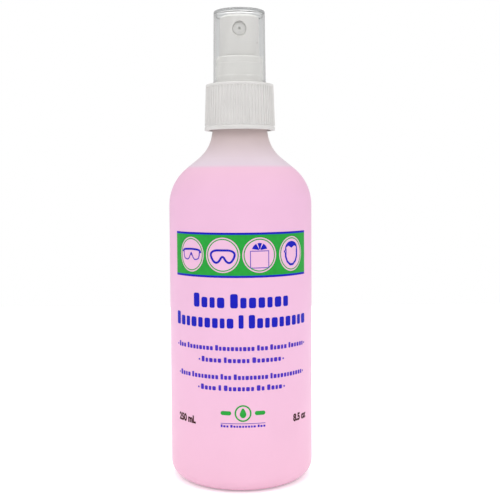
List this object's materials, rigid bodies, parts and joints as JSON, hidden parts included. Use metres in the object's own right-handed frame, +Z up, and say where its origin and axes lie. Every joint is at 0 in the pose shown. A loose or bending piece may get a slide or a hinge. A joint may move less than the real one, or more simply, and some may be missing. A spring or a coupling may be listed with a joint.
{
  "type": "fine-mist spray bottle",
  "caption": "Round translucent bottle of lens cleaning fluid with a ribbed screw closure, fine-mist finger pump and clear overcap.",
  "frame": {"origin": "centre of the bottle's base, on the plane it stands on", "axes": "+Z up along the bottle's axis, -Y towards the printed front and the nozzle, +X to the right seen from the front"},
  "size_m": [0.0546, 0.0546, 0.1781],
  "materials": {
    "bottle_plastic": "milky translucent polyethylene, satin",
    "cleaning_fluid": "clear pink watery fluid",
    "closure_plastic": "white polypropylene, satin, ribbed",
    "natural_plastic": "natural milky polypropylene",
    "gasket_foam": "white closed-cell foam",
    "collar_plastic": "white polypropylene, gloss",
    "piston_plastic": "soft white polyethylene",
    "spring_steel": "drawn stainless wire",
    "ball_glass": "polished glass",
    "tube_plastic": "milky translucent polyethylene tube",
    "actuator_plastic": "white polypropylene, soft gloss",
    "nozzle_plastic": "white acetal, fine satin",
    "overcap_plastic": "clear moulded styrene, gloss"
  },
  "bodies": {
    "bottle": {"bottle_body": "bottle_plastic", "cleaning_fluid": "cleaning_fluid"},
    "pump": {"pump_housing": "natural_plastic", "neck_gasket": "gasket_foam", "collar": "collar_plastic", "dip_tube": "tube_plastic", "return_spring": "spring_steel"},
    "closure": {"screw_closure": "closure_plastic"},
    "stem": {"stem": "natural_plastic", "stem_seat": "natural_plastic", "piston_spring": "spring_steel"},
    "piston": {"piston": "piston_plastic"},
    "ball": {"inlet_ball": "ball_glass"},
    "actuator": {"actuator": "actuator_plastic", "nozzle_insert": "nozzle_plastic"},
    "overcap": {"overcap": "overcap_plastic"}
  },
  "joints": [
    {"name": "pump_rise", "type": "slide", "parent": "bottle", "child": "pump", "axis": [0, 0, 1], "range_m": [0, 0.0048]},
    {"name": "closure_turn", "type": "hinge", "parent": "pump", "child": "closure", "pos_m": [0, 0, 0.1413], "axis": [0, 0, 1], "range_deg": [0, 540]},
    {"name": "spray_press", "type": "slide", "parent": "pump", "child": "stem", "axis": [0, 0, -1], "range_m": [0, 0.0042], "stiffness_N_per_m": 1000, "springref_m": -0.004, "deforming": ["return_spring"]},
    {"name": "piston_float", "type": "slide", "parent": "stem", "child": "piston", "axis": [0, 0, 1], "range_m": [0, 0.0006], "deforming": ["piston_spring"]},
    {"name": "actuator_turn", "type": "hinge", "parent": "stem", "child": "actuator", "pos_m": [0, 0, 0.165], "axis": [0, 0, 1], "continuous": true},
    {"name": "ball_lift", "type": "slide", "parent": "pump", "child": "ball", "axis": [0, 0, 1], "range_m": [0, 0.001]},
    {"name": "overcap_pull", "type": "slide", "parent": "pump", "child": "overcap", "axis": [0, 0, 1], "range_m": [0, 0.032]}
  ],
  "couplings": [
    {"joint": "pump_rise", "follows": "closure_turn", "m_per_rad": 0.00050532},
    {"joint": "piston_float", "follows": "spray_press", "ratio": 0.14286}
  ]
}
